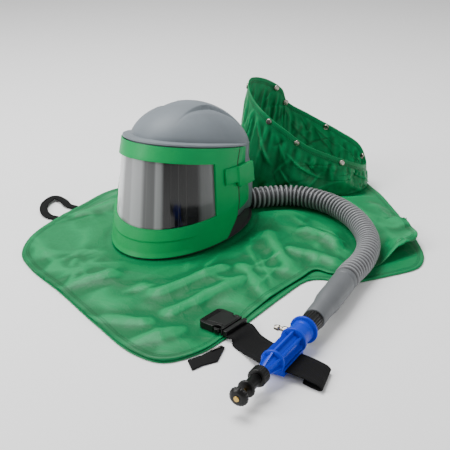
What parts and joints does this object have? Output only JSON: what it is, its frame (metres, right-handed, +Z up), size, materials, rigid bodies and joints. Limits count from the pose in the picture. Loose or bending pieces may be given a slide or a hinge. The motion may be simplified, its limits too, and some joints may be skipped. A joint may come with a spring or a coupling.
{
  "type": "sandblasting hood",
  "caption": "Sandblasting hood with a hinged green visor, gathered-collar cape, breathing tube, flow valve and waist belt, laid out flat.",
  "frame": {"origin": "under the middle of the whole hood but its tube, on the surface that it lies on", "axes": "+Z up, +Y away from the viewer along the length of the layout, +X to the viewer's right"},
  "size_m": [0.6564, 0.8674, 0.2193],
  "materials": {
    "shell_grey": "satin moulded plastic",
    "rim_dark": "matt rubber",
    "visor_green": "glossy moulded plastic",
    "lens": "polished",
    "cape_cloth": "coated nylon",
    "black_plastic": "satin",
    "webbing": "woven webbing",
    "valve_blue": "satin",
    "nickel": "plated, polished",
    "brass": "machined",
    "cuff_rubber": "matt rubber",
    "tube_grey": "corrugated, satin"
  },
  "bodies": {
    "hood": {"helmet_shell": "shell_grey", "neck_rim": "rim_dark", "side_strip_left": "visor_green", "side_strip_right": "visor_green", "hinge_leaf_fixed": "black_plastic", "air_inlet": "rim_dark", "cape_lower": "cape_cloth", "cape_upper": "cape_cloth", "cape_collar": "cape_cloth", "loop_left": "webbing", "valve_nut": "black_plastic", "valve_body": "valve_blue", "inlet_nipple": "nickel", "valve_collar": "black_plastic", "valve_bonnet": "black_plastic", "belt_strap": "webbing", "tube_cuff": "cuff_rubber", "buckle_socket": "black_plastic", "buckle_tongue": "black_plastic", "hem_tab": "webbing", "tab_slide": "nickel", "breathing_tube": "tube_grey", "snap_1": "nickel", "snap_2": "nickel", "snap_3": "nickel", "snap_4": "nickel", "snap_5": "nickel", "snap_6": "nickel", "snap_7": "nickel", "snap_8": "nickel"},
    "visor": {"visor_frame": "visor_green", "visor_lens": "lens", "hinge_leaf_visor": "black_plastic"},
    "latch": {"visor_latch": "visor_green"},
    "knob": {"valve_stem": "brass", "flow_knob": "black_plastic", "knob_cap": "brass"}
  },
  "joints": [
    {"name": "visor_swing", "type": "hinge", "parent": "hood", "child": "visor", "pos_m": [-0.15972, 0.19297, 0.06322], "axis": [-0.0481, -0.0928, -0.9945], "range_deg": [0, 60]},
    {"name": "latch_swing", "type": "hinge", "parent": "visor", "child": "latch", "pos_m": [0.01005, 0.05873, 0.11278], "axis": [-0.0481, -0.0928, -0.9945], "range_deg": [0, 70]},
    {"name": "knob_turn", "type": "hinge", "parent": "hood", "child": "knob", "pos_m": [0.02892, -0.41495, 0.024], "axis": [-0.4894, -0.8721, 0], "range_deg": [0, 270]}
  ]
}
